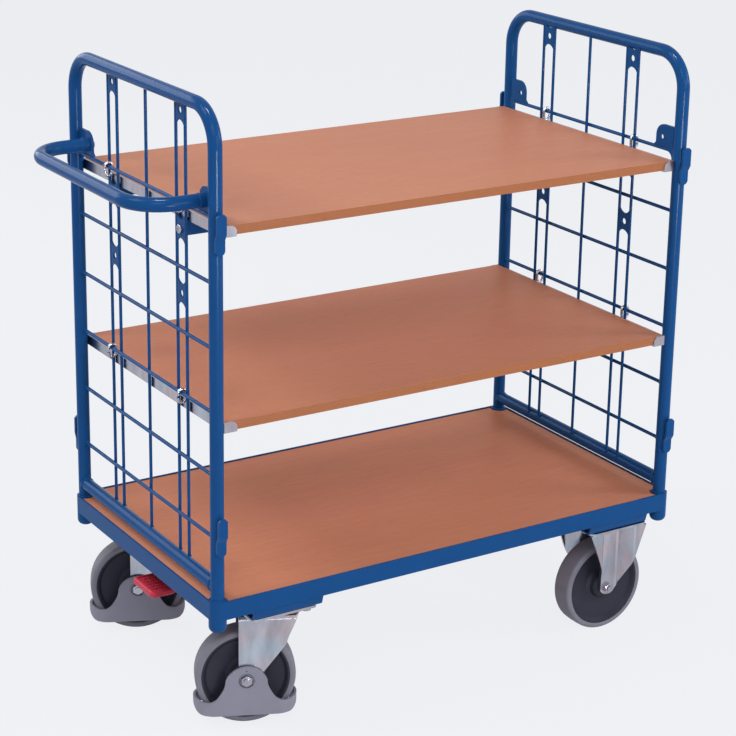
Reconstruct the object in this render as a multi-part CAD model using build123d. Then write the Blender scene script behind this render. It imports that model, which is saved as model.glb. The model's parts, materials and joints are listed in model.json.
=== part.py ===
"""Shelf trolley: a folded steel deck frame on two swivel and two fixed castors, two tube hoops with wire
grilles, a push handle, a fixed top shelf, a middle shelf that hangs on hooks and a brake worked by one pedal.

Millimetres. +X runs along the deck from the handle end to the far end, +Y across it, +Z up from the floor.
"""
from build123d import *
import math
import os

# Wheels and castors
wheel_d = 160.0
wheel_width = 40.0
tyre_depth = 10.0
tyre_crown = 1.0
tyre_round = 5.0
wheel_lip = 3.0
wheel_set = 2.0
hub_width = 46.0
hub_boss_d = 44.0
hub_web = 18.0
hub_chamfer = 5.0
axle_d = 10.0
castor_trail = 40.0
castor_turn = 24.0
crown_clear = 23.5
fork_sheet = 3.5
fork_inside = 50.0
fork_back = 12.0
fork_foot_d = 30.0
fork_lead_low = 18.0
fork_lead_high = 62.0
fork_lead_rise = 57.0
fork_lead_step = 5.0
fork_lead_round = 12.0
head_d = 94.0
head_skirt = 22.0
head_taper = 7.0
race_d = 70.0
race_bore = 44.0
race_height = 2.7
cup_height = 6.0
cup_d = 74.0
castor_plate_x = 116.0
castor_plate_y = 108.0
castor_plate_t = 4.0
castor_plate_round = 8.0
swivel_plate_y = 98.0
swivel_holes = (88.0, 70.0)
fixed_holes = (88.0, 40.0)
castor_bolt_d = 10.0
kingpin_d = 16.0
kingpin_head_d = 26.0
kingpin_head = 4.0
kingpin_nut = 7.7
kingpin_nut_flats = 24.0
swivel_x = 312.0
swivel_y = 192.0
fixed_x = 342.0
fixed_y = 190.0
fixed_panel = 34.0
fixed_slope = 18.0
fixed_step = 25.0
fixed_foot_d = 36.0
fixed_foot_rise = 6.0

# Foot guards
guard_overhang = 2.0
guard_width = 68.0
guard_wall = 4.0
guard_clear = 20.5
guard_band = 21.5
guard_round = 14.0
guard_bell_top = 24.0
guard_bell_half = 33.0
guard_recess_d = 25.0
guard_recess = 3.5
guard_dot_d = 2.4

# Deck frame
post_spacing_x = 858.0
post_spacing_y = 473.0
socket_d = 28.0
socket_depth = 38.0
socket_length = 52.6
socket_round = 9.5
rim_height = 30.0
rim_sheet = 3.0
rim_ledge = 22.0
rim_lip = 12.0
tray_depth = 18.0
tray_lean = 5.0
cross_plate_t = 3.0
handle_plate_set = 2.5
handle_plate_width = 123.0
far_plate_set = 5.0
far_plate_width = 120.0
deck_board_t = 13.0
deck_drop = 1.5
deck_gap = 1.5

# Hoops and grilles
hoop_tube_d = 21.3
tube_wall = 2.0
hoop_bend = 57.0
foot_bar_rise = 22.0
first_wire_rise = 74.0
wire_pitch = 100.0
cross_wire_count = 6
top_tube_rise = 160.0
cross_wire_d = 6.0
cross_wire_set = 2.1
upright_wire_d = 5.0
upright_pair_mid = 115.0
upright_pair_gap = 30.0
plate_height = 42.0
plate_t = 3.0
plate_hole_d = 11.0
plate_waist = 6.5
plate_drop = 44.0
top_plate_drop = 24.0
tab_t = 4.0
tab_height = 38.0
tab_reach = 43.0
tab_hole_d = 9.0
tab_hole_rise = 16.5
tab_hole_y = 197.0
tab_gusset = 14.0
tab_foot = 6.0
lug_width = 16.0
lug_t = 4.0
lug_height = 62.0
lug_stand_off = 5.0
lug_weld_part = 24.0
lug_joggle = 9.0
lug_rises = (53.5, 523.0)

# Push handle
handle_tube_d = 22.0
handle_reach = 102.0
handle_bend = 60.0
handle_plug = 9.0
handle_bolt_d = 8.0

# Shelves
shelf_width = 476.0
shelf_board_t = 14.0
shelf_drop = 12.0
top_shelf_wire_count = 6
middle_shelf_wire_count = 3
rail_sheet = 2.0
rail_flange_t = 2.5
rail_ear = 22.0
rail_ear_round = 9.0
rail_clear = 0.35
hook_d = 5.0
hook_y = 122.0
hook_depth = 15.1
hook_tip = 6.0
bracket_length = 60.0
bracket_width = 26.0
bracket_sheet = 3.0
bracket_screw_d = 8.0
screw_recess = 2.0

# Brake
shaft_d = 12.0
shaft_rise = 20.0
shaft_end = 13.0
finger_length = 14.0
finger_d = 22.0
finger_width = 16.0
shaft_bracket_y = 120.0
shaft_bracket_t = 5.0
shaft_bracket_width = 24.0
arm_t = 6.0
arm_hub_d = 24.0
arm_elbow_d = 14.0
arm_toe_d = 12.0
arm_elbow_x = 374.0
arm_slot = 14.0
pedal_width = 72.0
pedal_depth = 46.0
pedal_t = 11.0
pedal_round = 8.0
pedal_lip = 6.0
pedal_pocket = 2.0
pedal_lozenge = 5.0
pedal_toe_x = 441.0
pedal_drop = 91.0
arm_foot_t = 4.0
brake_angle = 15.0
plunger_d = 8.0
shoe_length = 28.0
shoe_width = 28.0
shoe_gap = 4.5

# Clearances: running fits, pieces of one body, pieces of two bodies
run_fit = 0.05
seat_fit = 0.1
body_gap = 0.3

# Heights that follow from the sizes above
axle_z = wheel_d / 2
crown_z = wheel_d + crown_clear
crown_top = crown_z + fork_sheet
race_top = crown_top + race_height
cup_z = race_top + body_gap
castor_plate_z = cup_z + cup_height
castor_top = castor_plate_z + castor_plate_t
rim_bottom = castor_top + tray_depth
rim_top = rim_bottom + rim_height
deck_top = rim_top - deck_drop
deck_bottom = deck_top - deck_board_t
foot_bar_z = rim_top + foot_bar_rise
wire_z = [foot_bar_z + first_wire_rise + i * wire_pitch for i in range(cross_wire_count)]
hoop_top_z = wire_z[-1] + top_tube_rise
shaft_z = castor_top + shaft_rise
shoe_top = crown_z - body_gap - kingpin_nut - shoe_gap

# Places that follow from the sizes above, from the middle of the deck
post_x = post_spacing_x / 2
post_y = post_spacing_y / 2
frame_x = post_x + socket_d / 2
frame_y = post_y + socket_d / 2
cross_wire_x = post_x - cross_wire_set
upright_x = cross_wire_x - (cross_wire_d + upright_wire_d) / 2 - body_gap
upright_ys = [-upright_pair_mid - upright_pair_gap / 2, -upright_pair_mid + upright_pair_gap / 2, 0.0,
              upright_pair_mid - upright_pair_gap / 2, upright_pair_mid + upright_pair_gap / 2]
plate_zs = [wire_z[-2] - plate_drop, wire_z[-1] - plate_drop, hoop_top_z - top_plate_drop]
tab_x = cross_wire_x - cross_wire_set
tab_z = wire_z[-1] + cross_wire_d / 2
tab_hole_z = tab_z + tab_hole_rise
rail_x = post_x - hoop_tube_d / 2 - rail_clear
top_shelf_wire = top_shelf_wire_count - 1
middle_shelf_wire = middle_shelf_wire_count - 1
handle_plate_x = swivel_x - handle_plate_set
far_plate_x = fixed_x - far_plate_set
shaft_x = -swivel_x + finger_length
handle_x = tab_x + tab_t / 2 + handle_reach
handle_end = handle_x + handle_tube_d / 2
fork_outside = fork_inside + 2 * fork_sheet
guard_length = wheel_d + 2 * guard_overhang
plunger_travel = finger_length * math.radians(brake_angle)
deck_shift = (handle_end - frame_x) / 2

BASE = (Align.CENTER, Align.CENTER, Align.MIN)
ENDS = (-1, 1)
SIDES = (-1, 1)


def save(name, *shapes):
    """Writes one node, moved so that the whole trolley is centred on its origin."""
    solids = []
    for shape in shapes:
        solids.extend((Pos(deck_shift, 0, 0) * shape).solids())
    export_step(solids[0] if len(solids) == 1 else Compound(solids), f"parts/{name}.step")


def rod(start, end, diameter):
    """A round bar between two points."""
    run = Vector(*end) - Vector(*start)
    return Plane(origin=start, z_dir=run) * Cylinder(diameter / 2, run.length, align=BASE)


def block(x, y, z):
    """A box from its limits on each axis."""
    middle = [(low + high) / 2 for low, high in (x, y, z)]
    return Pos(*middle) * Box(abs(x[1] - x[0]), abs(y[1] - y[0]), z[1] - z[0])


def bent_bar(points, bend, section):
    """A bar of one section along straight runs with rounded bends."""
    path = FilletPolyline(*points, radius=bend)
    return sweep(Plane(origin=path @ 0, z_dir=path % 0) * section, path=path)


def tube_section(diameter):
    return Circle(diameter / 2) - Circle(diameter / 2 - tube_wall)


def hexagon(flats, height):
    """A hexagonal prism standing on z = 0, its upper corners turned off."""
    prism = extrude(RegularPolygon(flats / 2, 6, major_radius=False), height)
    return prism & Cone(flats / 2 + 2 * height, 0.48 * flats, height, align=BASE)


def side_plate(outline, y, thickness):
    """A plate across Y from an outline drawn in X and Z, starting at y."""
    return Pos(0, y, 0) * extrude(Plane.XZ * outline, amount=thickness, dir=(0, 1, 0))


def end_plate(outline, x, thickness):
    """A plate across X from an outline drawn in Y and Z, starting at x."""
    return Pos(x, 0, 0) * extrude(Plane.YZ * outline, amount=thickness, dir=(1, 0, 0))


def link(start, start_d, end, end_d):
    """The outline of a bar that tapers from one round end to another."""
    return make_hull((Pos(*start) * Circle(start_d / 2)).edges() + (Pos(*end) * Circle(end_d / 2)).edges())


# Deck frame
def socket_post(x, y, diameter):
    """A tall cylinder on a post's line, for cutting what meets the post."""
    return Pos(x, y, 0) * Cylinder(diameter / 2, hoop_top_z, align=BASE)


def corner_socket(x, y):
    """A turned socket with a rounded lower end, bored from the top for the hoop."""
    shell = Pos(x, y, rim_top - socket_length) * Cylinder(socket_d / 2, socket_length, align=BASE)
    shell = fillet(shell.edges().group_by(Axis.Z)[0], socket_round)
    bore_r = hoop_tube_d / 2 + 2 * seat_fit
    return shell - Pos(x, y, rim_top - socket_depth) * Cylinder(bore_r, socket_depth, align=BASE)


def rim_section(outer):
    """The folded section of a rim: web, ledge under the board and lower lip, drawn across and up."""
    inner = outer - rim_sheet
    web = Pos((inner + outer) / 2, (rim_bottom + rim_top) / 2) * Rectangle(rim_sheet, rim_height)
    ledge = Pos(inner - rim_ledge / 2, deck_bottom - rim_sheet / 2) * Rectangle(rim_ledge, rim_sheet)
    lip = Pos(inner - rim_lip / 2, rim_bottom + rim_sheet / 2) * Rectangle(rim_lip, rim_sheet)
    return web, ledge + lip


def long_rim(side):
    web, flanges = rim_section(frame_y)
    web_half = post_x - socket_d / 7
    flange_half = post_x - socket_d
    rim = end_plate(web, -web_half, 2 * web_half) + end_plate(flanges, -flange_half, 2 * flange_half)
    for end in ENDS:
        rim -= socket_post(end * post_x, post_y, socket_d + 2 * seat_fit)
    return rim if side > 0 else mirror(rim, Plane.XZ)


def end_rim(end):
    web, flanges = rim_section(frame_x)
    web_half = post_y - socket_d / 7
    flange_half = post_y - 2 * socket_d
    rim = side_plate(web, -web_half, 2 * web_half) + side_plate(flanges, -flange_half, 2 * flange_half)
    for side in SIDES:
        rim -= socket_post(post_x, side * post_y, socket_d + 2 * seat_fit)
    return rim if end > 0 else mirror(rim, Plane.YZ)


def bolt_places(x, y, pattern):
    """The four bolt places of a castor plate."""
    return [(x + i * pattern[0] / 2, y + j * pattern[1] / 2) for i in SIDES for j in SIDES]


def bolt_hole(sheet):
    """A cutter for a castor bolt's hole through a sheet."""
    return Cylinder(castor_bolt_d / 2 + 4 * seat_fit, 4 * sheet)


def tray_outline(half, floor, bend):
    """A shallow trough drawn across and up: its lower corners rounded, its sides leaning outwards."""
    top = floor + tray_depth
    low = half - tray_lean
    trough = make_face(Polyline((-half, top), (-low, floor), (low, floor), (half, top), close=True))
    return fillet([v for v in trough.vertices() if v.Y < floor + 1], bend)


def cross_plate(middle, width, castor_x, castor_y, pattern):
    """A shallow tray under the rims: a flat plate with both ends bent up, leaning out to the long rims."""
    outer = frame_y - rim_sheet
    outside = tray_outline(outer, castor_top, 2 * cross_plate_t)
    inside = tray_outline(outer - cross_plate_t, castor_top + cross_plate_t, cross_plate_t)
    tray = end_plate(outside - inside, middle - width / 2, width)
    for side in SIDES:
        for x, y in bolt_places(castor_x, side * castor_y, pattern):
            tray -= Pos(x, y, castor_top) * bolt_hole(cross_plate_t)
    return tray


def handle_end_plate():
    """The cross plate over the swivel castors, with kingpin holes and a slot for the pedal's arm."""
    tray = cross_plate(-handle_plate_x, handle_plate_width, -swivel_x, swivel_y, swivel_holes)
    for side in SIDES:
        hole = Cylinder(kingpin_head_d / 2 + 2, 4 * cross_plate_t)
        tray -= Pos(-swivel_x, side * swivel_y, castor_top) * hole
    outer = -handle_plate_x - handle_plate_width
    inner = shaft_x + arm_hub_d / 2
    tray -= block((outer, inner), (-arm_slot / 2, arm_slot / 2), (castor_top - 1, castor_top + tray_depth))
    return tray


def deck_board():
    half_x = frame_x - rim_sheet - deck_gap
    half_y = frame_y - rim_sheet - deck_gap
    board = block((-half_x, half_x), (-half_y, half_y), (deck_bottom, deck_top))
    for end in ENDS:
        for side in SIDES:
            x, y = end * post_x, side * post_y
            board -= socket_post(x, y, socket_d + 2 * deck_gap)
            board -= block((x, end * frame_x), (y, side * frame_y), (deck_bottom, deck_top))
    return board


# Hoops
def top_tube_cut(end):
    x = end * post_x
    return rod((x, -post_y, hoop_top_z), (x, post_y, hoop_top_z), hoop_tube_d + 2 * seat_fit)


def hoop(end):
    x = end * post_x
    foot = rim_top - socket_depth
    corners = [(x, -post_y, foot), (x, -post_y, hoop_top_z), (x, post_y, hoop_top_z), (x, post_y, foot)]
    return bent_bar(corners, hoop_bend, tube_section(hoop_tube_d))


def foot_bar(end):
    x = end * post_x
    path = Line((x, -post_y, foot_bar_z), (x, post_y, foot_bar_z))
    bar = sweep(Plane(origin=path @ 0, z_dir=path % 0) * tube_section(hoop_tube_d), path=path)
    for side in SIDES:
        bar -= socket_post(x, side * post_y, hoop_tube_d + 2 * seat_fit)
    return bar


def cross_wires(end):
    """Level wires between the posts, coped to them."""
    wires = []
    for z in wire_z:
        wire = rod((end * cross_wire_x, -post_y, z), (end * cross_wire_x, post_y, z), cross_wire_d)
        for side in SIDES:
            wire -= socket_post(end * post_x, side * post_y, hoop_tube_d + 2 * seat_fit)
        wires.append(wire)
    return wires


def upright_wires(end):
    """Upright wires from the foot bar to the top tube, inside the cross wires."""
    x = end * post_x
    bar = rod((x, -post_y, foot_bar_z), (x, post_y, foot_bar_z), hoop_tube_d + 2 * seat_fit)
    wires = []
    for y in upright_ys:
        wire = rod((end * upright_x, y, foot_bar_z), (end * upright_x, y, hoop_top_z), upright_wire_d)
        wires.append(wire - bar - top_tube_cut(end))
    return wires


def hole_plates(end):
    """Small drilled plates between the paired uprights, with hollow ends."""
    width = upright_pair_gap - upright_wire_d - 2 * seat_fit
    hollow = ((width / 2) ** 2 + plate_waist ** 2) / (2 * plate_waist)
    plates = []
    for side in SIDES:
        for z in plate_zs:
            outline = Rectangle(width, plate_height) - Circle(plate_hole_d / 2)
            for up in SIDES:
                outline -= Pos(0, up * (plate_height / 2 - plate_waist + hollow)) * Circle(hollow)
            place = Pos(side * upright_pair_mid, z)
            plate = end_plate(place * outline, end * upright_x - plate_t / 2, plate_t)
            plates.append(plate - top_tube_cut(end))
    return plates


def hoop_tabs(end):
    """Drilled tabs on the top cross wire beside the posts, rounded at the top, with a gusset below."""
    wire = wire_z[-1]
    edge = post_y - hoop_tube_d / 2
    low = wire - tab_gusset
    gusset = Pos((edge - tab_gusset + post_y) / 2, (low + tab_z) / 2)
    gusset *= Rectangle(post_y - edge + tab_gusset, tab_z - low)
    gusset -= Pos(edge - tab_gusset, low) * Circle(tab_gusset - cross_wire_d / 4)
    x = end * cross_wire_x
    bar = rod((x, -post_y, wire), (x, post_y, wire), cross_wire_d + 2 * seat_fit)
    tabs = []
    for side in SIDES:
        inner = edge - tab_reach
        width = post_y - inner
        sheet = Pos(inner + width / 2, tab_z + tab_height / 2) * Rectangle(width, tab_height)
        corner = [v for v in sheet.vertices() if v.X < post_y - 1 and v.Y > tab_z + 1]
        sheet = fillet(corner, tab_height / 2)
        toe = Polyline((inner, tab_z), (inner, tab_z + tab_foot), (inner - tab_foot, tab_z), close=True)
        sheet += make_face(toe)
        sheet -= Pos(tab_hole_y, tab_hole_z) * Circle(tab_hole_d / 2)
        tab = end_plate(sheet + gusset, end * tab_x - tab_t / 2, tab_t) - bar
        tab = tab if side > 0 else mirror(tab, Plane.XZ)
        tabs.append(tab - socket_post(end * post_x, side * post_y, hoop_tube_d + 2 * seat_fit))
    return tabs


def post_lug(x, side, z):
    """A flat bar welded to the outside of a post, joggled so that its top stands off the post."""
    near = post_y + hoop_tube_d / 2 + seat_fit
    far = near + lug_stand_off
    weld_top = z + lug_weld_part
    joggle_top = weld_top + lug_joggle
    top = z + lug_height
    bar = Polyline((near, z), (near, weld_top), (far, joggle_top), (far, top), (far + lug_t, top),
                   (far + lug_t, joggle_top - lug_t / 4), (near + lug_t, weld_top - lug_t / 4),
                   (near + lug_t, z), close=True)
    lug = end_plate(make_face(bar), -lug_width / 2, lug_width)
    face = Pos(0, z + lug_height / 2) * Rectangle(lug_width, lug_height)
    lower = [v for v in face.vertices() if v.Y < z + 1]
    face = fillet(lower, lug_width / 2.2)
    upper = [v for v in face.vertices() if v.Y > top - 1]
    face = chamfer(upper, lug_width / 4)
    lug = lug & side_plate(face, near - lug_t, lug_stand_off + 3 * lug_t)
    lug = lug if side > 0 else mirror(lug, Plane.XZ)
    return Pos(x, 0, 0) * lug


# Push handle
def push_handle():
    start = -tab_x - tab_t / 2 - handle_plug
    corners = [(start, -tab_hole_y, tab_hole_z), (-handle_x, -tab_hole_y, tab_hole_z),
               (-handle_x, tab_hole_y, tab_hole_z), (start, tab_hole_y, tab_hole_z)]
    return bent_bar(corners, handle_bend, tube_section(handle_tube_d))


def handle_plug_at(side):
    """A turned plug that closes a handle end, seats on the tab and takes the bolt."""
    y = side * tab_hole_y
    face = -tab_x - tab_t / 2
    plug = rod((face, y, tab_hole_z), (face - handle_plug, y, tab_hole_z), handle_tube_d)
    spigot_d = handle_tube_d - 2 * tube_wall - 2 * seat_fit
    plug += rod((face - handle_plug, y, tab_hole_z), (face - 3 * handle_plug, y, tab_hole_z), spigot_d)
    bore = rod((face, y, tab_hole_z), (face - 2.5 * handle_plug, y, tab_hole_z), handle_bolt_d + 2 * seat_fit)
    return plug - bore


def hex_bolt(diameter, length, head, flats):
    """A hexagon bolt with its head under z = 0 and its shank up from there."""
    return Rot(X=180) * hexagon(flats, head) + Cylinder(diameter / 2, length, align=BASE)


def hex_nut(diameter, height, flats):
    return hexagon(flats, height) - Cylinder(diameter / 2 + seat_fit, height, align=BASE)


def handle_bolt(side):
    face = -tab_x + tab_t / 2
    seat = Plane(origin=(face, side * tab_hole_y, tab_hole_z), z_dir=(-1, 0, 0))
    length = tab_t + 2.2 * handle_plug
    return seat * hex_bolt(handle_bolt_d, length, 0.65 * handle_bolt_d, 1.6 * handle_bolt_d)


# Shelves
def shelf_levels(wire):
    """Top of the board, underside of the board and underside of the rail of a shelf on one wire."""
    top = wire_z[wire] - shelf_drop
    return top, top - shelf_board_t, top - shelf_board_t - rail_flange_t


def shelf_board(wire):
    top, bottom, _ = shelf_levels(wire)
    half_x = rail_x - rail_sheet
    return block((-half_x, half_x), (-shelf_width / 2, shelf_width / 2), (bottom, top))


def shelf_rail(wire, end):
    """A folded end rail: web, flange under the board and an ear round each corner of the board."""
    top, bottom, rail_bottom = shelf_levels(wire)
    height = top - rail_bottom
    half_y = shelf_width / 2 + rail_sheet
    inner = rail_x - rail_ear
    web = block((rail_x - rail_sheet, rail_x), (-half_y, half_y), (rail_bottom, top))
    flange = block((inner, rail_x), (-half_y, half_y), (rail_bottom, bottom))
    ear = Pos(inner + rail_ear / 2, rail_bottom + height / 2) * Rectangle(rail_ear, height)
    corner = [v for v in ear.vertices() if v.X < inner + 1 and v.Y > rail_bottom + 1]
    ear = fillet(corner, rail_ear_round)
    rail = web + flange
    rail += side_plate(ear, shelf_width / 2, rail_sheet) + side_plate(ear, -half_y, rail_sheet)
    return rail if end > 0 else mirror(rail, Plane.YZ)


def shelf_hook(wire, end, side):
    """A bent rod that hooks over the cross wire, runs down the rail and curls up again below the wire."""
    z = wire_z[wire]
    leg = rail_x + hook_d / 2 + run_fit
    bend = cross_wire_x - leg
    outer = leg + 2 * bend
    y = side * hook_y
    top = z + cross_wire_d / 2 + body_gap + hook_d / 2
    low = z - hook_depth
    path = FilletPolyline((outer, y, z - hook_tip / 2), (outer, y, top), (leg, y, top), (leg, y, low),
                          (outer, y, low), (outer, y, low + bend + hook_tip / 3), radius=0.98 * bend)
    hook = sweep(Plane(origin=path @ 0, z_dir=path % 0) * Circle(hook_d / 2), path=path)
    return hook if end > 0 else mirror(hook, Plane.YZ)


def shelf_bracket(end, side):
    """A sheet bracket under the top shelf: back plate on the hole plate, side web, flange under the rail."""
    _, _, rail_bottom = shelf_levels(top_shelf_wire)
    back = upright_x - plate_t / 2
    front = back - bracket_length
    low = plate_zs[1] - 0.3 * bracket_width
    near = upright_pair_mid - bracket_width / 2
    far = upright_pair_mid + bracket_width / 2
    outline = Polyline((back, low), (back, rail_bottom), (front, rail_bottom),
                       (front, rail_bottom - 3 * bracket_sheet), (front + 4 * bracket_sheet, low), close=True)
    bracket = side_plate(make_face(outline), far - bracket_sheet, bracket_sheet)
    bracket += block((back - bracket_sheet, back), (near, far), (low, rail_bottom))
    bracket += block((front, back), (near, far), (rail_bottom - bracket_sheet, rail_bottom))
    hole_z = plate_zs[1]
    bracket -= rod((back - 2 * bracket_sheet, upright_pair_mid, hole_z), (back, upright_pair_mid, hole_z),
                   bracket_screw_d + 4 * seat_fit)
    bracket = bracket if side > 0 else mirror(bracket, Plane.XZ)
    return bracket if end > 0 else mirror(bracket, Plane.YZ)


def bracket_screw(end, side):
    """A pan-head screw with a cross recess through hole plate and bracket, with its nut."""
    y = side * upright_pair_mid
    seat = Plane(origin=(end * (upright_x + plate_t / 2), y, plate_zs[1]), z_dir=(-end, 0, 0))
    head_d = 1.75 * bracket_screw_d
    grip = plate_t + bracket_sheet
    nut_height = 0.8 * bracket_screw_d
    head = Pos(0, 0, -0.55 * bracket_screw_d) * Cylinder(head_d / 2, 0.55 * bracket_screw_d, align=BASE)
    head = fillet(head.edges().group_by(Axis.Z)[0], bracket_screw_d / 5)
    cross = Box(screw_recess, 0.6 * head_d, screw_recess) + Box(0.6 * head_d, screw_recess, screw_recess)
    head -= Pos(0, 0, -0.55 * bracket_screw_d) * cross
    screw = head + Cylinder(bracket_screw_d / 2, grip + nut_height + 2, align=BASE)
    nut = Pos(0, 0, grip) * hex_nut(bracket_screw_d, nut_height, 1.6 * bracket_screw_d)
    return seat * screw, seat * nut


# Castors, drawn with the axle over the origin and the direction of travel along +X
def wheel_centre():
    """The moulded wheel centre: boss, dished web and rim."""
    rim_r = wheel_d / 2 - tyre_depth
    bore = axle_d / 2 + run_fit
    boss = hub_boss_d / 2
    lip = rim_r - wheel_lip
    rim_half = wheel_width / 2 - wheel_set
    web = hub_web / 2
    half = [(bore, hub_width / 2), (boss - hub_chamfer, hub_width / 2), (boss, rim_half),
            (boss + hub_chamfer / 2, web + wheel_set), (boss + 2 * hub_chamfer, web),
            (lip - hub_chamfer, web + wheel_lip), (lip, rim_half), (rim_r, rim_half)]
    outline = half + [(r, -t) for r, t in reversed(half)]
    section = make_face(Polyline(*outline, close=True))
    return Pos(0, 0, axle_z) * Rot(X=-90) * revolve(Plane.XZ * section, Axis.Z)


def tyre():
    """A solid tyre with rounded shoulders and a crowned tread."""
    inner = wheel_d / 2 - tyre_depth + run_fit
    outer = wheel_d / 2
    half = wheel_width / 2
    shoulder = outer - tyre_crown
    tread = ThreePointArc((shoulder, half), (outer, 0), (shoulder, -half))
    sides = Polyline((shoulder, -half), (inner, -half + 1), (inner, half - 1), (shoulder, half))
    section = fillet(make_face(tread + sides).vertices().sort_by(Axis.X)[-2:], tyre_round)
    return Pos(0, 0, axle_z) * Rot(X=-90) * revolve(Plane.XZ * section, Axis.Z)


def swivel_fork():
    """The pressed fork: a U of sheet cut to the leg's outline, with a skirted head, round to the front."""
    top = crown_top
    radius = head_d / 2
    front = castor_trail + radius
    outside = Pos(0, top / 2) * Rectangle(fork_outside, top)
    outside = fillet([v for v in outside.vertices() if v.Y > top - 1], 2 * fork_sheet)
    inside = Pos(0, crown_z / 2) * Rectangle(fork_inside, crown_z)
    inside = fillet([v for v in inside.vertices() if v.Y > crown_z - 1], fork_sheet)
    channel = end_plate(outside - inside, -front, 2 * front)
    foot = fork_foot_d / 2
    bend_z = axle_z + fork_lead_rise
    lead = fork_lead_high + fork_lead_step
    flare = castor_trail + math.sqrt(radius ** 2 - (fork_outside / 2) ** 2)
    leg = make_face(Polyline((-fork_back, axle_z), (-fork_back, top), (flare, top),
                             (flare, top - head_skirt / 2), (lead, top - 1.6 * head_skirt),
                             (fork_lead_high, bend_z), (fork_lead_low, axle_z), close=True))
    bends = [v for v in leg.vertices() if v.X > fork_lead_high - 1 and v.Y < top - head_skirt]
    leg = fillet(bends, fork_lead_round)
    leg += Pos((fork_lead_low - fork_back) / 2, axle_z) * Circle(foot)
    fork = channel & side_plate(leg, -fork_outside, 2 * fork_outside)
    skirt = Polyline((0, top), (radius, top), (radius - head_taper, top - head_skirt),
                     (radius - head_taper - fork_sheet, top - head_skirt), (radius - fork_sheet - 1, crown_z),
                     (0, crown_z), close=True)
    head = Pos(castor_trail, 0, 0) * revolve(Plane.XZ * make_face(skirt), Axis.Z)
    fork += head & block((-front, front), (-fork_outside / 2, fork_outside / 2), (0, top))
    fork -= Pos(castor_trail, 0, crown_z) * Cylinder(kingpin_d / 2 + run_fit, 4 * fork_sheet)
    fork -= rod((0, -fork_outside, axle_z), (0, fork_outside, axle_z), axle_d + 2 * seat_fit)
    return fork


def bearing_ring():
    ring = Cylinder(race_d / 2, race_height, align=BASE) - Cylinder(race_bore / 2, race_height, align=BASE)
    return Pos(castor_trail, 0, crown_top) * ring


def foot_guard():
    """An oval band round the lower wheel with a bell-shaped cheek on each side up to the axle."""
    low = guard_clear
    band_top = low + guard_band
    bell_top = axle_z + guard_bell_top
    height = bell_top - low
    ring = SlotOverall(guard_length, guard_width)
    ring -= SlotOverall(guard_length - 2 * guard_wall, guard_width - 2 * guard_wall)
    wall = Pos(0, 0, low) * extrude(ring, height)
    half = guard_length / 2
    bell = guard_bell_half
    flare = 0.8 * half
    waist = 1.2 * bell
    right = Spline((bell, axle_z), (waist, (axle_z + band_top) / 2 - 2), (flare, band_top),
                   tangents=((0, -1), (1, 0)))
    left = Spline((-flare, band_top), (-waist, (axle_z + band_top) / 2 - 2), (-bell, axle_z),
                  tangents=((1, 0), (0, 1)))
    crown = ThreePointArc((-bell, axle_z), (0, bell_top), (bell, axle_z))
    base = Polyline((flare, band_top), (half, band_top + 2), (half, low), (-half, low), (-half, band_top + 2),
                    (-flare, band_top))
    outline = make_face(crown + right + base + left)
    outline = fillet([v for v in outline.vertices() if v.Y < low + 1], guard_round)
    guard = wall & side_plate(outline, -guard_width, 2 * guard_width)
    for side in SIDES:
        face = side * guard_width / 2
        seat = side * fork_outside / 2
        guard += rod((0, seat, axle_z), (0, face - side * guard_wall, axle_z), guard_recess_d)
        guard -= rod((0, face - side * guard_recess, axle_z), (0, face + side, axle_z), guard_recess_d)
        dot_z = axle_z + 0.7 * guard_bell_top
        guard -= rod((0, face - side * guard_wall / 2, dot_z), (0, face + side, dot_z), guard_dot_d)
    guard -= rod((0, -guard_width, axle_z), (0, guard_width, axle_z), axle_d + 2 * seat_fit)
    return guard


def axle(grip):
    """An axle bolt and its nut, through everything between plus and minus half the grip."""
    head = 0.6 * axle_d
    flats = 1.6 * axle_d
    nut_height = 0.6 * axle_d
    seat = Plane(origin=(0, grip / 2, axle_z), z_dir=(0, -1, 0))
    bolt = seat * hex_bolt(axle_d, grip + nut_height + 2, head, flats)
    nut = seat * (Pos(0, 0, grip) * hex_nut(axle_d, nut_height, flats))
    return bolt, nut


def swivel_plate(x, y):
    """A castor's top plate with the bearing cup under it."""
    outline = RectangleRounded(castor_plate_x, swivel_plate_y, castor_plate_round)
    plate = Pos(0, 0, castor_plate_z) * extrude(outline, castor_plate_t)
    plate += Pos(0, 0, cup_z) * Cylinder(cup_d / 2, cup_height, align=BASE)
    plate -= Pos(0, 0, castor_top) * Cylinder(kingpin_d / 2 + seat_fit, 4 * cup_height)
    for hole_x, hole_y in bolt_places(0, 0, swivel_holes):
        plate -= Pos(hole_x, hole_y, castor_top) * bolt_hole(castor_plate_t)
    return Pos(x, y, 0) * plate


def kingpin(x, y):
    """The hollow pin that holds the fork to the plate, and its nut under the crown."""
    nut_top = crown_z - body_gap
    low = nut_top - kingpin_nut
    pin = Pos(0, 0, low) * Cylinder(kingpin_d / 2, castor_top - low, align=BASE)
    pin += Pos(0, 0, castor_top) * Cylinder(kingpin_head_d / 2, kingpin_head, align=BASE)
    pin -= Pos(0, 0, low) * Cylinder(plunger_d / 2 + run_fit, 2 * castor_top, align=BASE)
    nut = Pos(0, 0, low) * hex_nut(kingpin_d, kingpin_nut, kingpin_nut_flats)
    return Pos(x, y, 0) * pin, Pos(x, y, 0) * nut


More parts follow.
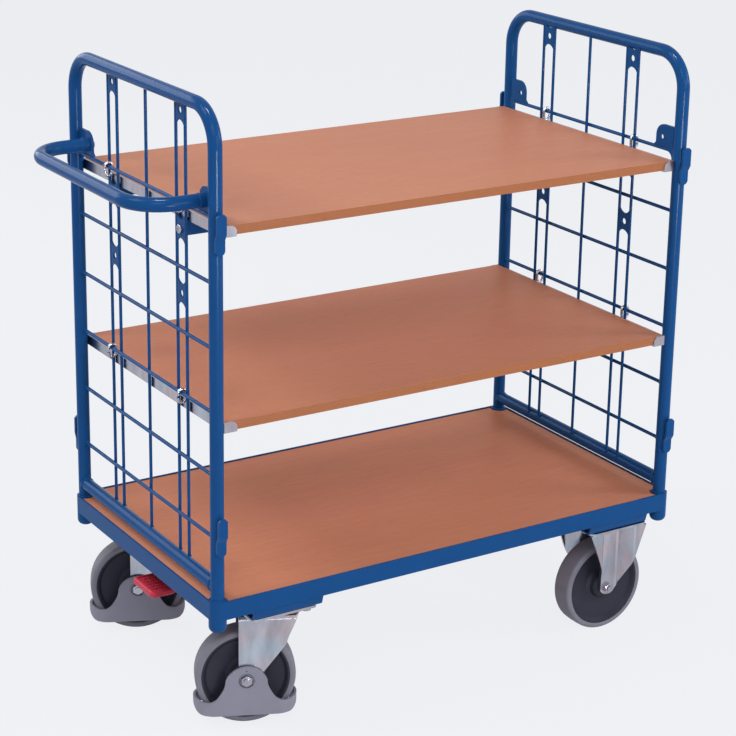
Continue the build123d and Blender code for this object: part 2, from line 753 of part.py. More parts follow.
def fixed_fork():
    """A fixed fork: a plate and two tapered legs, each a flat panel with both sides stepped outwards."""
    half = castor_plate_x / 2
    panel = fixed_panel / 2
    wing = panel + fixed_slope
    near = (fork_inside + fork_sheet) / 2
    far = near + fixed_step
    middle = FilletPolyline((-half, far), (-wing, far), (-panel, near), (panel, near), (wing, far),
                            (half, far), radius=2 * fork_sheet)
    foot = fixed_foot_d / 2
    foot_z = axle_z + fixed_foot_rise
    outline = make_face(Polyline((-foot, foot_z), (-half, castor_plate_z), (half, castor_plate_z),
                                 (foot, foot_z), close=True))
    outline += Pos(0, foot_z) * Circle(foot)
    leg = extrude(trace(middle, fork_sheet), castor_plate_z) & side_plate(outline, 0, castor_plate_y)
    top = RectangleRounded(castor_plate_x, castor_plate_y, castor_plate_round)
    fork = Pos(0, 0, castor_plate_z) * extrude(top, castor_plate_t)
    fork += leg
    fork += mirror(leg, Plane.XZ)
    fork -= rod((0, -fork_outside, axle_z), (0, fork_outside, axle_z), axle_d + 2 * seat_fit)
    for hole_x, hole_y in bolt_places(0, 0, fixed_holes):
        fork -= Pos(hole_x, hole_y, castor_top) * bolt_hole(castor_plate_t)
    return fork


def castor_fasteners(x, y, pattern):
    """Bolts up through castor plate and cross plate, with nuts on top."""
    grip = castor_plate_t + cross_plate_t
    nut_height = 0.8 * castor_bolt_d
    pieces = []
    for hole_x, hole_y in bolt_places(x, y, pattern):
        seat = Pos(hole_x, hole_y, castor_plate_z)
        bolt = hex_bolt(castor_bolt_d, grip + nut_height + 1, 0.65 * castor_bolt_d, 1.6 * castor_bolt_d)
        pieces.append(seat * bolt)
        pieces.append(seat * Pos(0, 0, grip) * hex_nut(castor_bolt_d, nut_height, 1.6 * castor_bolt_d))
    return pieces


# Brake
def brake_shaft():
    end = swivel_y + shaft_end
    return rod((shaft_x, -end, shaft_z), (shaft_x, end, shaft_z), shaft_d)


def brake_finger(side):
    """A finger on the shaft that stands over a kingpin and presses its plunger down."""
    outline = link((shaft_x, shaft_z), finger_d, (-swivel_x, shaft_z), finger_d)
    outline -= Pos(shaft_x, shaft_z) * Circle(shaft_d / 2 + seat_fit)
    return side_plate(outline, side * swivel_y - finger_width / 2, finger_width)


def shaft_bracket(side):
    """An upright plate on the cross plate with a bearing hole for the shaft."""
    foot = castor_top + cross_plate_t
    half = shaft_bracket_width / 2
    outline = Pos(shaft_x, (foot + shaft_z) / 2) * Rectangle(shaft_bracket_width, shaft_z - foot)
    outline += Pos(shaft_x, shaft_z) * Circle(half)
    outline -= Pos(shaft_x, shaft_z) * Circle(shaft_d / 2 + run_fit)
    return side_plate(outline, side * shaft_bracket_y - shaft_bracket_t / 2, shaft_bracket_t)


def pedal_levels():
    """Top and underside of the tread, and the middle of the tread along X."""
    top = foot_bar_z - pedal_drop
    return top, top - pedal_t, -pedal_toe_x + pedal_depth / 2


def brake_arm():
    """A flat bar from the shaft, out through the slot and down to a foot under the tread."""
    _, under, middle = pedal_levels()
    elbow = (-arm_elbow_x, under - arm_elbow_d / 2)
    toe = (middle, under - arm_toe_d / 2)
    outline = link((shaft_x, shaft_z), arm_hub_d, elbow, arm_elbow_d)
    outline += link(elbow, arm_elbow_d, toe, arm_toe_d)
    outline -= Pos(shaft_x, shaft_z) * Circle(shaft_d / 2 + seat_fit)
    arm = side_plate(outline, -arm_t / 2, arm_t)
    foot = RectangleRounded(0.6 * pedal_depth, 0.6 * pedal_width, pedal_round / 2)
    return arm + Pos(middle, 0, under - arm_foot_t) * extrude(foot, arm_foot_t)


def brake_pedal():
    """A moulded tread: a rounded lip round a shallow pocket with rows of raised lozenges."""
    _, under, middle = pedal_levels()
    tread = extrude(RectangleRounded(pedal_depth, pedal_width, pedal_round), pedal_t)
    tread = fillet(tread.edges().group_by(Axis.Z)[-1], 0.45 * pedal_t)
    tread = fillet(tread.edges().group_by(Axis.Z)[0], 0.3 * pedal_t)
    floor = pedal_t - pedal_pocket
    inside_x = pedal_depth - 2 * pedal_lip
    inside_y = pedal_width - 2 * pedal_lip
    tread -= Pos(0, 0, floor) * extrude(RectangleRounded(inside_x, inside_y, pedal_round / 2), pedal_pocket)
    lozenge = Rot(Z=45) * Box(pedal_lozenge, pedal_lozenge, pedal_pocket, align=BASE)
    for x, y in [(i, j) for i in (-1, 0, 1) for j in (-2, -1, 0, 1, 2)]:
        tread += Pos(x * inside_x / 3.5, y * inside_y / 6, floor) * lozenge
    return Pos(middle, 0, under) * tread


def brake_plunger():
    """A rod through the kingpin with a domed top and a shoe whose flat face is square to the tyre."""
    top = shaft_z - finger_d / 2 - body_gap
    radius = plunger_d / 2
    stem = Pos(castor_trail, 0, shoe_top) * Cylinder(radius, top - radius - shoe_top, align=BASE)
    stem += Pos(castor_trail, 0, top - radius) * Sphere(radius)
    lean = math.asin(castor_trail / wheel_d * 2)
    shoe_r = wheel_d / 2 + plunger_travel * math.cos(lean) + body_gap
    block_x = (castor_trail - shoe_length / 2, castor_trail + shoe_length / 2)
    shoe = block(block_x, (-shoe_width / 2, shoe_width / 2), (axle_z, shoe_top))
    cut = Plane(origin=(shoe_r * math.sin(lean), 0, axle_z + shoe_r * math.cos(lean)),
                z_dir=(-math.sin(lean), 0, -math.cos(lean)))
    shoe -= cut * Box(wheel_d, wheel_d, wheel_d, align=BASE)
    return stem + shoe


def swivel_place(side):
    """Where a swivel castor stands: its kingpin, its turn at rest and its trail."""
    return Pos(-swivel_x, side * swivel_y, 0) * Rot(Z=-castor_turn) * Pos(-castor_trail, 0, 0)


def fixed_place(side):
    return Pos(fixed_x, side * fixed_y, 0)


os.makedirs("parts", exist_ok=True)

save("long_rims", *[long_rim(side) for side in SIDES])
save("end_rims", *[end_rim(end) for end in ENDS])
save("corner_sockets", *[corner_socket(end * post_x, side * post_y) for end in ENDS for side in SIDES])
save("handle_end_cross_plate", handle_end_plate())
save("far_end_cross_plate", cross_plate(far_plate_x, far_plate_width, fixed_x, fixed_y, fixed_holes))
save("deck_board", deck_board())

for end, name in ((-1, "handle_hoop"), (1, "far_hoop")):
    save(name, hoop(end))
    save(name + "_cross_wires", *cross_wires(end))
    save(name + "_upright_wires", *upright_wires(end))
    save(name + "_hole_plates", *hole_plates(end))
save("hoop_foot_bars", *[foot_bar(end) for end in ENDS])
save("hoop_tabs", *[tab for end in ENDS for tab in hoop_tabs(end)])
save("post_lugs", *[post_lug(end * post_x, side, foot_bar_z + rise)
                    for end in ENDS for side in SIDES for rise in lug_rises])

save("push_handle", push_handle())
save("handle_end_plugs", *[handle_plug_at(side) for side in SIDES])
save("handle_bolts", *[handle_bolt(side) for side in SIDES])

for wire, name in ((top_shelf_wire, "top_shelf"), (middle_shelf_wire, "middle_shelf")):
    save(name + "_board", shelf_board(wire))
    save(name + "_rails", *[shelf_rail(wire, end) for end in ENDS])
    save(name + "_hooks", *[shelf_hook(wire, end, side) for end in ENDS for side in SIDES])
save("shelf_brackets", *[shelf_bracket(end, side) for end in ENDS for side in SIDES])
save("bracket_screws", *[piece for end in ENDS for side in SIDES for piece in bracket_screw(end, side)])

fasteners = []
fixed_axles = []
for side, name in ((-1, "front"), (1, "rear")):
    place = swivel_place(side)
    save(name + "_swivel_plate", swivel_plate(-swivel_x, side * swivel_y))
    save(name + "_kingpin", *kingpin(-swivel_x, side * swivel_y))
    save(name + "_bearing_ring", place * bearing_ring())
    save(name + "_swivel_fork", place * swivel_fork())
    save(name + "_foot_guard", place * foot_guard())
    save(name + "_swivel_axle", *[place * piece for piece in axle(guard_width - 2 * guard_recess)])
    save(name + "_swivel_wheel", place * wheel_centre())
    save(name + "_swivel_tyre", place * tyre())
    save(name + "_brake_plunger", place * brake_plunger())
    fixed = fixed_place(side)
    save(name + "_fixed_fork", fixed * fixed_fork())
    fixed_axles.extend(fixed * piece for piece in axle(fork_outside))
    save(name + "_fixed_wheel", fixed * wheel_centre())
    save(name + "_fixed_tyre", fixed * tyre())
    fasteners.extend(castor_fasteners(-swivel_x, side * swivel_y, swivel_holes))
    fasteners.extend(castor_fasteners(fixed_x, side * fixed_y, fixed_holes))
save("castor_fasteners", *fasteners)
save("fixed_axles", *fixed_axles)

save("brake_shaft", brake_shaft())
save("brake_fingers", *[brake_finger(side) for side in SIDES])
save("brake_shaft_brackets", *[shaft_bracket(side) for side in SIDES])
save("brake_arm", brake_arm())
save("brake_pedal", brake_pedal())
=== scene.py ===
"""Shelf trolley: finishes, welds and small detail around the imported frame, in a pale studio.

Metres. +X runs from the push handle to the far end, +Y across the trolley, +Z up from the floor.
"""
import bmesh
import bpy
import json
import math
from mathutils import Matrix, Vector


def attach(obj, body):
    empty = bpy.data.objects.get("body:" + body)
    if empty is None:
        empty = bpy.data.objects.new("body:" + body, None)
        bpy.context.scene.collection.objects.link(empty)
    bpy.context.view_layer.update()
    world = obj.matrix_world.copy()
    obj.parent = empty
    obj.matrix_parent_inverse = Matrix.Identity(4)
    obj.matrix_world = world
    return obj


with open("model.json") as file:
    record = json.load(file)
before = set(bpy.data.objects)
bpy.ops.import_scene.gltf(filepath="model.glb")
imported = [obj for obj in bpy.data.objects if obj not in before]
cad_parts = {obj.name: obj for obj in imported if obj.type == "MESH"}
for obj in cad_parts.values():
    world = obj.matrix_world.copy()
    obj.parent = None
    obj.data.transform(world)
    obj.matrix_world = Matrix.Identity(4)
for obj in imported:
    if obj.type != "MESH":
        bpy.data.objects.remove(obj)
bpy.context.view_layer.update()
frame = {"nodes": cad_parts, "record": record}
nodes = frame["nodes"]
scene = bpy.context.scene
MM = 0.001

# Camera: place, the point it looks at, its roll, lens and sensor in mm, and the photograph's framing
CAMERA_PLACE = Vector((-1.7537, -2.8118, 1.6433))
CAMERA_TARGET = Vector((-0.0142, 0.0, 0.6126))
CAMERA_ROLL = math.radians(0.779)
CAMERA_LENS = 103.33
CAMERA_SENSOR = 36.0
CAMERA_SHIFT = (0.0307, -0.1007)

# Pieces that the scene adds, and sizes of the frame that a node's box doesn't show
CROSS_WIRES = 6
UPRIGHT_PAIR_GAP = 30 * MM
RIM_HEIGHT = 30 * MM
RIM_STEP = 4.0 * MM
FILLER_LAP = 1.5 * MM
FILLER_PROUD = 0.12 * MM
LUG_HEIGHT = 62 * MM
LUG_SEAM = 24 * MM
LUG_SEAM_HALF = 6.4 * MM
TAB_SHEET = 4 * MM
TAB_HEIGHT = 38 * MM
WIRE_BEAD = 1.3 * MM
CROSSING_BEAD = 1.6 * WIRE_BEAD
TAB_SEAM_START = 3 * WIRE_BEAD
TUBE_BEAD = 1.5 * MM
LUG_BEAD = 2.0 * MM
HUB_FACE = 23 * MM
HUB_RING = 10 * MM
HUB_RING_WIRE = 0.9 * MM
HANDLE_PLUG = 9 * MM

# Faces round and up a bead of weld, its spacing along a seam in sizes of the bead, and faces of a ring
BEAD_ROUND = 8
BEAD_UP = 6
BEAD_PITCH = 1.4
RING_SIDES = 8
RING_STEPS = 32

# Studio
BACKDROP = "#EFF1F5"
FLOOR_SIZE = 40.0
FLOOR_GLOW = 0.94
FLOOR_ROUGHNESS = 0.9
SKY = 0.4
SKY_COLOUR = "#F4F6FA"
LAMP_AIM = Vector((0, 0, 0.5))
# Lamps: name, place, width, height, power; the glints show only as highlights on gloss, and the front
# one stands below the deck so that no board mirrors it
LAMPS = (
    ("key", (-1.8, -2.8, 3.0), 1.8, 1.6, 46.0),
    ("front", (0.6, -3.6, 1.5), 1.4, 1.2, 41.0),
    ("left", (-2.2, 0.4, 3.4), 1.4, 1.4, 52.0),
    ("right", (3.0, -2.0, 1.8), 1.2, 1.4, 50.0),
    ("back", (-1.3, 3.3, 2.0), 2.6, 1.8, 52.0),
    ("top_glint", (-0.5, -0.4, 3.9), 0.8, 0.5, 120.0),
    ("front_glint", (-0.35, -3.1, 0.14), 0.9, 0.22, 56.0),
)


def linear(hex_colour):
    """An sRGB hex colour as linear RGBA."""
    parts = [int(hex_colour[i:i + 2], 16) / 255 for i in (1, 3, 5)]
    return tuple(p / 12.92 if p <= 0.04045 else ((p + 0.055) / 1.055) ** 2.4 for p in parts) + (1.0,)


def add(tree, kind, settings=None, **inputs):
    """Adds a node: settings are its properties, inputs its sockets, each given a value or a link."""
    new = tree.nodes.new("ShaderNode" + kind)
    for name, value in (settings or {}).items():
        setattr(new, name, value)
    for name, value in inputs.items():
        socket = new.inputs[int(name[1:])] if name[1:].isdigit() else new.inputs[name.replace("_", " ")]
        if isinstance(value, bpy.types.NodeSocket):
            tree.links.new(value, socket)
        else:
            socket.default_value = value
    return new


def new_material(name):
    """An empty node material and its tree."""
    material = bpy.data.materials.new(name)
    material.use_nodes = True
    material.node_tree.nodes.clear()
    return material, material.node_tree


def close_material(tree, shader):
    """Links the finished shader to the material's output."""
    tree.links.new(shader.outputs[0], add(tree, "OutputMaterial").inputs["Surface"])


def background_rays(tree):
    """One for rays that see the background, straight, mirrored or through glass, and nought for light."""
    path = add(tree, "LightPath").outputs
    most = {"operation": "MAXIMUM"}
    seen = add(tree, "Math", most, _0=path["Is Camera Ray"], _1=path["Is Glossy Ray"])
    return add(tree, "Math", most, _0=seen.outputs[0], _1=path["Is Transmission Ray"]).outputs[0]


def powder_coat():
    """Polyester powder coat on steel: an even glossy blue, narrow highlights with a faint orange peel.

    The real orange peel is near 1 mm wide and would not show, so it is drawn 3 mm wide.
    """
    material, tree = new_material("blue_powder_coat")
    place = add(tree, "TexCoord").outputs["Object"]
    cloud = add(tree, "TexNoise", Vector=place, Scale=1 / (60 * MM), Detail=2.0)
    peel = add(tree, "TexNoise", Vector=place, Scale=1 / (3 * MM), Detail=1.0)
    colour = add(tree, "MixRGB", Fac=cloud.outputs["Fac"], Color1=linear("#134276"),
                 Color2=linear("#15487F"))
    rough = add(tree, "MapRange", Value=cloud.outputs["Fac"], To_Min=0.14, To_Max=0.2)
    bump = add(tree, "Bump", Strength=0.04, Distance=0.05 * MM, Height=peel.outputs["Fac"])
    shader = add(tree, "BsdfPrincipled", Base_Color=colour.outputs[0], Roughness=rough.outputs[0],
                 Normal=bump.outputs[0], Specular_IOR_Level=0.06)
    close_material(tree, shader)
    return material


def beech_laminate():
    """Beech-print melamine board: orange brown, faint flecks and streaks along it, satin, banded edges.

    The real flecks are about 3 mm long and would not show, so they are drawn 22 mm long.
    """
    material, tree = new_material("beech_melamine")
    place = add(tree, "TexCoord").outputs["Object"]
    band_size = (1 / (360 * MM), 1 / (55 * MM), 1 / (55 * MM))
    long_place = add(tree, "Mapping", Vector=place, Scale=band_size)
    band = add(tree, "TexNoise", Vector=long_place.outputs[0], Scale=1.0, Detail=4.0, Distortion=0.6)
    streak_size = (1 / (70 * MM), 1 / (4 * MM), 1 / (4 * MM))
    streak_place = add(tree, "Mapping", Vector=place, Scale=streak_size)
    streak = add(tree, "TexNoise", Vector=streak_place.outputs[0], Scale=1.0, Detail=3.0)
    fleck_size = (1 / (22 * MM), 1 / (2.2 * MM), 1 / (2.2 * MM))
    fleck_place = add(tree, "Mapping", Vector=place, Scale=fleck_size)
    fleck = add(tree, "TexNoise", Vector=fleck_place.outputs[0], Scale=1.0, Detail=1.0)
    fleck_dark = add(tree, "MapRange", Value=fleck.outputs["Fac"], From_Min=0.58, From_Max=0.78,
                     To_Max=0.38)
    base = add(tree, "MixRGB", Fac=band.outputs["Fac"], Color1=linear("#C28464"),
               Color2=linear("#BE7C63"))
    streaked = add(tree, "MixRGB", {"blend_type": "MULTIPLY"}, Fac=streak.outputs["Fac"],
                   Color1=base.outputs[0], Color2=linear("#F5E8E1"))
    grain = add(tree, "MixRGB", Fac=fleck_dark.outputs[0], Color1=streaked.outputs[0],
                Color2=linear("#9C6249"))
    facing = add(tree, "SeparateXYZ", Vector=add(tree, "NewGeometry").outputs["True Normal"])
    upright = add(tree, "Math", {"operation": "ABSOLUTE"}, _0=facing.outputs["Z"])
    # A face that tilts more than 60 degrees out of the flat is a banded edge
    least_flat = 0.5
    edge = add(tree, "Math", {"operation": "LESS_THAN"}, _0=upright.outputs[0], _1=least_flat)
    band_colour = add(tree, "MixRGB", Fac=fleck_dark.outputs[0], Color1=linear("#9C6242"),
                      Color2=linear("#865236"))
    colour = add(tree, "MixRGB", Fac=edge.outputs[0], Color1=grain.outputs[0],
                 Color2=band_colour.outputs[0])
    rough = add(tree, "MapRange", Value=streak.outputs["Fac"], To_Min=0.38, To_Max=0.5)
    bump = add(tree, "Bump", Strength=0.12, Distance=0.06 * MM, Height=fleck.outputs["Fac"])
    shader = add(tree, "BsdfPrincipled", Base_Color=colour.outputs[0], Roughness=rough.outputs[0],
                 Normal=bump.outputs[0], Specular_IOR_Level=0.09)
    close_material(tree, shader)
    return material


def zinc_plate():
    """Bright zinc plate on pressed steel: silver, soft upright streaks, faint warm and cool tints.

    The real lines from the press are well under 1 mm wide and would not show, so they are drawn 2.5 mm
    wide.
    """
    material, tree = new_material("zinc_plated_steel")
    place = add(tree, "TexCoord").outputs["Object"]
    cloud_size = (1 / (24 * MM), 1 / (24 * MM), 1 / (70 * MM))
    cloud_place = add(tree, "Mapping", Vector=place, Scale=cloud_size)
    cloud = add(tree, "TexNoise", Vector=cloud_place.outputs[0], Scale=1.0, Detail=3.0, Distortion=0.3)
    drawn_size = (1 / (2.5 * MM), 1 / (2.5 * MM), 1 / (40 * MM))
    drawn_place = add(tree, "Mapping", Vector=place, Scale=drawn_size)
    drawn = add(tree, "TexNoise", Vector=drawn_place.outputs[0], Scale=1.0, Detail=3.0)
    off_the_streaks = (0.1, 0.1, 0.1)
    tint_place = add(tree, "Mapping", Vector=place, Location=off_the_streaks)
    tint = add(tree, "TexNoise", Vector=tint_place.outputs[0], Scale=1 / (45 * MM), Detail=2.0)
    tint_share = add(tree, "MapRange", Value=tint.outputs["Fac"], From_Min=0.35, From_Max=0.65)
    warm_cool = add(tree, "MixRGB", Fac=tint_share.outputs[0], Color1=linear("#F4E8E8"),
                    Color2=linear("#E4F0F6"))
    streak = add(tree, "MapRange", Value=cloud.outputs["Fac"], From_Min=0.25, From_Max=0.75)
    silver = add(tree, "MixRGB", Fac=streak.outputs[0], Color1=linear("#A2A1AB"),
                 Color2=linear("#C8C7CE"))
    colour = add(tree, "MixRGB", {"blend_type": "MULTIPLY"}, Fac=1.0, Color1=silver.outputs[0],
                 Color2=warm_cool.outputs[0])
    rough = add(tree, "MapRange", Value=drawn.outputs["Fac"], To_Min=0.18, To_Max=0.3)
    bump = add(tree, "Bump", Strength=0.1, Distance=0.05 * MM, Height=drawn.outputs["Fac"])
    shader = add(tree, "BsdfPrincipled", Base_Color=colour.outputs[0], Metallic=1.0,
                 Roughness=rough.outputs[0], Normal=bump.outputs[0])
    close_material(tree, shader)
    return material


def moulded(name, light, dark, grain_mm, rough, bump_strength):
    """A moulded plastic or rubber: two close shades, a fine grain from the mould and an uneven gloss.

    The real grain is a few tenths of a millimetre wide and would not show, so it is drawn coarser.
    """
    material, tree = new_material(name)
    place = add(tree, "TexCoord").outputs["Object"]
    cloud = add(tree, "TexNoise", Vector=place, Scale=1 / (30 * MM), Detail=3.0)
    grain = add(tree, "TexNoise", Vector=place, Scale=1 / (grain_mm * MM), Detail=2.0)
    colour = add(tree, "MixRGB", Fac=cloud.outputs["Fac"], Color1=linear(dark), Color2=linear(light))
    gloss = add(tree, "MapRange", Value=cloud.outputs["Fac"], To_Min=rough[0], To_Max=rough[1])
    bump = add(tree, "Bump", Strength=bump_strength, Distance=0.1 * MM, Height=grain.outputs["Fac"])
    shader = add(tree, "BsdfPrincipled", Base_Color=colour.outputs[0], Roughness=gloss.outputs[0],
                 Normal=bump.outputs[0], Specular_IOR_Level=0.15)
    close_material(tree, shader)
    return material


FINISHES = {
    "blue_powder_coat": powder_coat(),
    "beech_laminate": beech_laminate(),
    "zinc_plated_steel": zinc_plate(),
    # Thermoplastic rubber: dull grey with a faint bloom
    "grey_tyre": moulded("grey_rubber", "#797884", "#6F6E79", grain_mm=1.6, rough=(0.55, 0.7),
                         bump_strength=0.2),
    # Polypropylene: nearly black, slightly shiny
    "black_wheel_centre": moulded("black_polypropylene", "#2D2E3B", "#262733", grain_mm=1.2,
                                  rough=(0.42, 0.55), bump_strength=0.1),
    # Nylon: mid grey with a grained mould surface
    "grey_guard": moulded("grey_nylon", "#858492", "#7D7C8A", grain_mm=1.0, rough=(0.45, 0.58),
                          bump_strength=0.25),
    # Nylon: signal red
    "red_pedal": moulded("red_nylon", "#BE384C", "#B02F43", grain_mm=1.0, rough=(0.3, 0.42),
                         bump_strength=0.15),
}


def dress(piece, finish):
    """Gives a node of the frame its finish."""
    piece.data.materials.clear()
    piece.data.materials.append(FINISHES[finish])


for subpart in frame["record"]["subparts"]:
    dress(nodes[subpart["node"]], subpart["material_slot"])


def box(node):
    """The lowest and highest corner of a node."""
    places = [v.co for v in nodes[node].data.vertices]
    low = Vector([min(p[i] for p in places) for i in range(3)])
    high = Vector([max(p[i] for p in places) for i in range(3)])
    return low, high


def keep(bm, name, body, finish):
    """Turns a finished bmesh into a smooth piece on its body, its faces pointing outwards."""
    bmesh.ops.recalc_face_normals(bm, faces=bm.faces)
    for face in bm.faces:
        face.smooth = True
    mesh = bpy.data.meshes.new(name)
    bm.to_mesh(mesh)
    bm.free()
    mesh.materials.append(FINISHES[finish])
    piece = bpy.data.objects.new(name, mesh)
    scene.collection.objects.link(piece)
    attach(piece, body)


def bead(bm, place, size):
    """One drop of weld."""
    bmesh.ops.create_uvsphere(bm, u_segments=BEAD_ROUND, v_segments=BEAD_UP, radius=size,
                              matrix=Matrix.Translation(place))


def ring(bm, centre, axis, radius, wire):
    """A round wire bent to a ring about an axis: a run of weld or a bearing ring."""
    turn = Matrix.Translation(centre) @ Vector(axis).to_track_quat("Z", "Y").to_matrix().to_4x4()
    section = Matrix.Translation((radius, 0, 0)) @ Matrix.Rotation(math.pi / 2, 4, "X")
    circle = bmesh.ops.create_circle(bm, segments=RING_SIDES, radius=wire, matrix=turn @ section)["verts"]
    edges = list({edge for v in circle for edge in v.link_edges})
    bmesh.ops.spin(bm, geom=circle + edges, cent=centre, axis=axis, angle=2 * math.pi,
                   steps=RING_STEPS, use_merge=True)


def seam_weld(bm, start, end, size):
    """Drops of weld along a straight seam."""
    count = round((end - start).length / (BEAD_PITCH * size))
    for i in range(count + 1):
        bead(bm, start.lerp(end, i / count), size)


def hoop_welds(hoop):
    """Painted welds of one hoop: wires on posts, tubes and each other, foot bar, sockets, lugs, tabs."""
    low, high = box(hoop)
    post_x = (low.x + high.x) / 2
    tube = (high.x - low.x) / 2
    post_y = high.y - tube
    top_z = high.z - tube
    wire_low, wire_high = box(hoop + "_cross_wires")
    wire = (wire_high.x - wire_low.x) / 2
    wire_x = wire_low.x + wire
    pitch = (wire_high.z - wire_low.z - 2 * wire) / (CROSS_WIRES - 1)
    wire_zs = [wire_low.z + wire + i * pitch for i in range(CROSS_WIRES)]
    upright_low, upright_high = box(hoop + "_upright_wires")
    upright = (upright_high.x - upright_low.x) / 2
    upright_x = upright_low.x + upright
    outer = upright_high.y - upright
    upright_ys = (-outer, UPRIGHT_PAIR_GAP - outer, 0.0, outer - UPRIGHT_PAIR_GAP, outer)
    bar_low, bar_high = box("hoop_foot_bars")
    bar_z = (bar_low.z + bar_high.z) / 2
    socket_top = box("corner_sockets")[1].z
    lug_low, lug_high = box("post_lugs")
    tab_low, tab_high = box("hoop_tabs")

    bm = bmesh.new()
    seat = tube * math.cos(math.asin((post_x - upright_x) / tube))
    for y in upright_ys:
        ring(bm, Vector((upright_x, y, bar_z + seat)), (0, 0, 1), upright, WIRE_BEAD)
        ring(bm, Vector((upright_x, y, top_z - seat)), (0, 0, 1), upright, WIRE_BEAD)
        for z in wire_zs:
            bead(bm, Vector(((wire_x + upright_x) / 2, y, z)), CROSSING_BEAD)
    for side in (-1, 1):
        face_y = side * (post_y - tube)
        for z in wire_zs:
            ring(bm, Vector((wire_x, face_y, z)), (0, 1, 0), wire, WIRE_BEAD)
        ring(bm, Vector((post_x, face_y, bar_z)), (0, 1, 0), tube, TUBE_BEAD)
        ring(bm, Vector((post_x, side * post_y, socket_top)), (0, 0, 1), tube + TUBE_BEAD / 2, TUBE_BEAD)
        for z in (lug_low.z, lug_high.z - LUG_HEIGHT):
            for edge in (-LUG_SEAM_HALF, LUG_SEAM_HALF):
                foot = Vector((post_x + edge, side * (post_y + tube - LUG_BEAD), z + LUG_SEAM / 4))
                seam_weld(bm, foot, foot + Vector((0, 0, LUG_SEAM / 2)), LUG_BEAD)
        tab_x = (tab_high.x if post_x > 0 else tab_low.x) - math.copysign(TAB_SHEET / 2, post_x)
        for edge in (-TAB_SHEET / 2, TAB_SHEET / 2):
            foot = Vector((tab_x + edge, face_y, tab_high.z - TAB_HEIGHT + TAB_SEAM_START))
            seam_weld(bm, foot, Vector((foot.x, foot.y, tab_high.z - WIRE_BEAD)), WIRE_BEAD)
    keep(bm, hoop + "_welds", "frame", "blue_powder_coat")


def corner_fillers():
    """Ground welds that carry the faces of the rims smoothly on to the sockets."""
    low, high = box("corner_sockets")
    hoop_low, hoop_high = box("far_hoop")
    socket = high.x - (hoop_low.x + hoop_high.x) / 2
    side_of = socket - math.sqrt(socket ** 2 - RIM_STEP ** 2)
    bm = bmesh.new()
    for end_x, x in ((low.x, 1), (high.x, -1)):
        for end_y, y in ((low.y, 1), (high.y, -1)):
            for along_x in (True, False):
                corners = ((-FILLER_LAP, -FILLER_PROUD), (RIM_STEP + FILLER_LAP, -FILLER_PROUD),
                           (RIM_STEP + FILLER_LAP, side_of), (-FILLER_LAP, side_of))
                verts = []
                for along, deep in corners:
                    step = (socket + along, deep) if along_x else (deep, socket + along)
                    place = (end_x + x * step[0], end_y + y * step[1], high.z - RIM_HEIGHT)
                    verts.append(bm.verts.new(place))
                face = bm.faces.new(verts)
                lifted = bmesh.ops.extrude_face_region(bm, geom=[face])["geom"]
                bmesh.ops.translate(bm, vec=(0, 0, RIM_HEIGHT),
                                    verts=[v for v in lifted if isinstance(v, bmesh.types.BMVert)])
    for edge in bm.edges:
        edge.smooth = False
    keep(bm, "corner_fillers", "frame", "blue_powder_coat")


def handle_welds():
    """The painted weld where each end plug of the push handle meets the tube."""
    low, high = box("handle_end_plugs")
    tube = (high.z - low.z) / 2
    bm = bmesh.new()
    for y in (low.y + tube, high.y - tube):
        centre = Vector((high.x - HANDLE_PLUG, y, low.z + tube))
        ring(bm, centre, (1, 0, 0), tube - TUBE_BEAD / 3, TUBE_BEAD)
    keep(bm, "handle_welds", "frame", "blue_powder_coat")


def hub_rings():
    """A bright bearing ring in each face of every wheel's hub."""
    for joint in frame["record"]["behaviour"]["joints"]:
        if not joint["name"].endswith("_wheel_spin"):
            continue
        axis = Vector(joint["axis"])
        bm = bmesh.new()
        for face in (-HUB_FACE, HUB_FACE):
            ring(bm, Vector(joint["pos_m"]) + face * axis, axis, HUB_RING, HUB_RING_WIRE)
        keep(bm, joint["child"] + "_hub_rings", joint["child"], "zinc_plated_steel")


hoop_welds("handle_hoop")
hoop_welds("far_hoop")
corner_fillers()
handle_welds()
hub_rings()


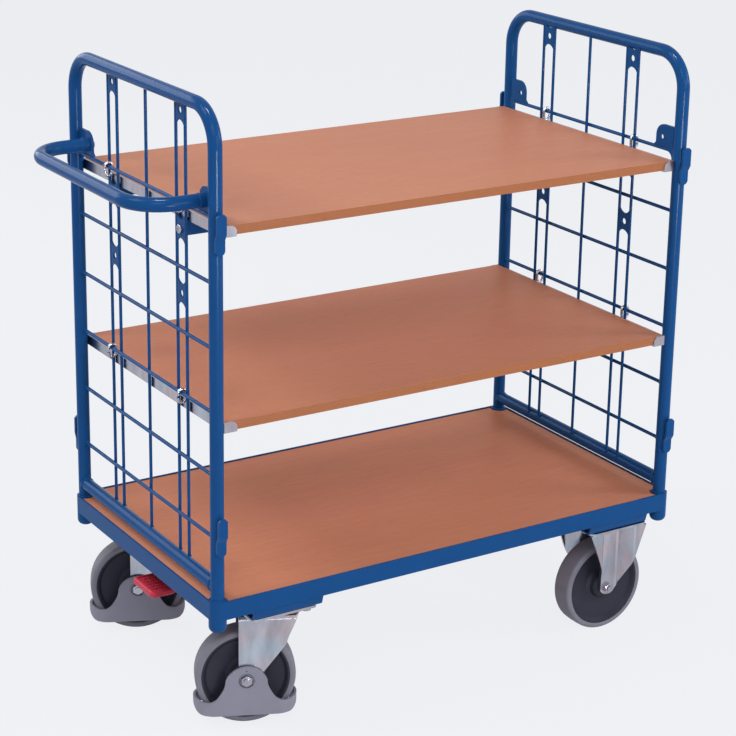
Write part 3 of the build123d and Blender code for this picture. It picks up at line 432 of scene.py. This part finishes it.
def studio():
    """A pale floor that runs out of view, an even sky, soft lamps on all sides, two for highlights."""
    bm = bmesh.new()
    bmesh.ops.create_grid(bm, x_segments=1, y_segments=1, size=FLOOR_SIZE / 2)
    mesh = bpy.data.meshes.new("floor")
    bm.to_mesh(mesh)
    bm.free()
    floor = bpy.data.objects.new("floor", mesh)
    scene.collection.objects.link(floor)
    material, tree = new_material("pale_floor")
    share = add(tree, "Math", {"operation": "MULTIPLY"}, _0=background_rays(tree), _1=FLOOR_GLOW)
    lit = add(tree, "BsdfPrincipled", Base_Color=linear(BACKDROP), Roughness=FLOOR_ROUGHNESS,
              Specular_IOR_Level=0.0)
    glow = add(tree, "Emission", Color=linear(BACKDROP), Strength=1.0)
    mixed = add(tree, "MixShader", _0=share.outputs[0], _1=lit.outputs[0], _2=glow.outputs[0])
    close_material(tree, mixed)
    mesh.materials.append(material)

    world = bpy.data.worlds.new("studio")
    scene.world = world
    world.use_nodes = True
    tree = world.node_tree
    tree.nodes.clear()
    sky = add(tree, "Background", Color=linear(SKY_COLOUR), Strength=SKY)
    backdrop = add(tree, "Background", Color=linear(BACKDROP), Strength=1.0)
    mixed = add(tree, "MixShader", _0=background_rays(tree), _1=sky.outputs[0],
                _2=backdrop.outputs[0])
    tree.links.new(mixed.outputs[0], add(tree, "OutputWorld").inputs["Surface"])

    for name, place, wide, tall, power in LAMPS:
        lamp = bpy.data.lights.new(name, "AREA")
        lamp.shape = "RECTANGLE"
        lamp.size = wide
        lamp.size_y = tall
        lamp.energy = power
        light = bpy.data.objects.new(name, lamp)
        light.location = place
        light.visible_diffuse = not name.endswith("glint")
        light.rotation_euler = (LAMP_AIM - Vector(place)).to_track_quat("-Z", "Y").to_euler()
        scene.collection.objects.link(light)


def photo_camera():
    """The camera at the photograph's viewing angle and framing."""
    data = bpy.data.cameras.new("camera")
    data.lens = CAMERA_LENS
    data.sensor_width = CAMERA_SENSOR
    data.shift_x, data.shift_y = CAMERA_SHIFT
    camera = bpy.data.objects.new("camera", data)
    aim = (CAMERA_TARGET - CAMERA_PLACE).to_track_quat("-Z", "Y").to_matrix().to_4x4()
    camera.matrix_world = Matrix.Translation(CAMERA_PLACE) @ aim @ Matrix.Rotation(CAMERA_ROLL, 4, "Z")
    scene.collection.objects.link(camera)
    scene.camera = camera


studio()
photo_camera()
scene.view_settings.view_transform = "Standard"
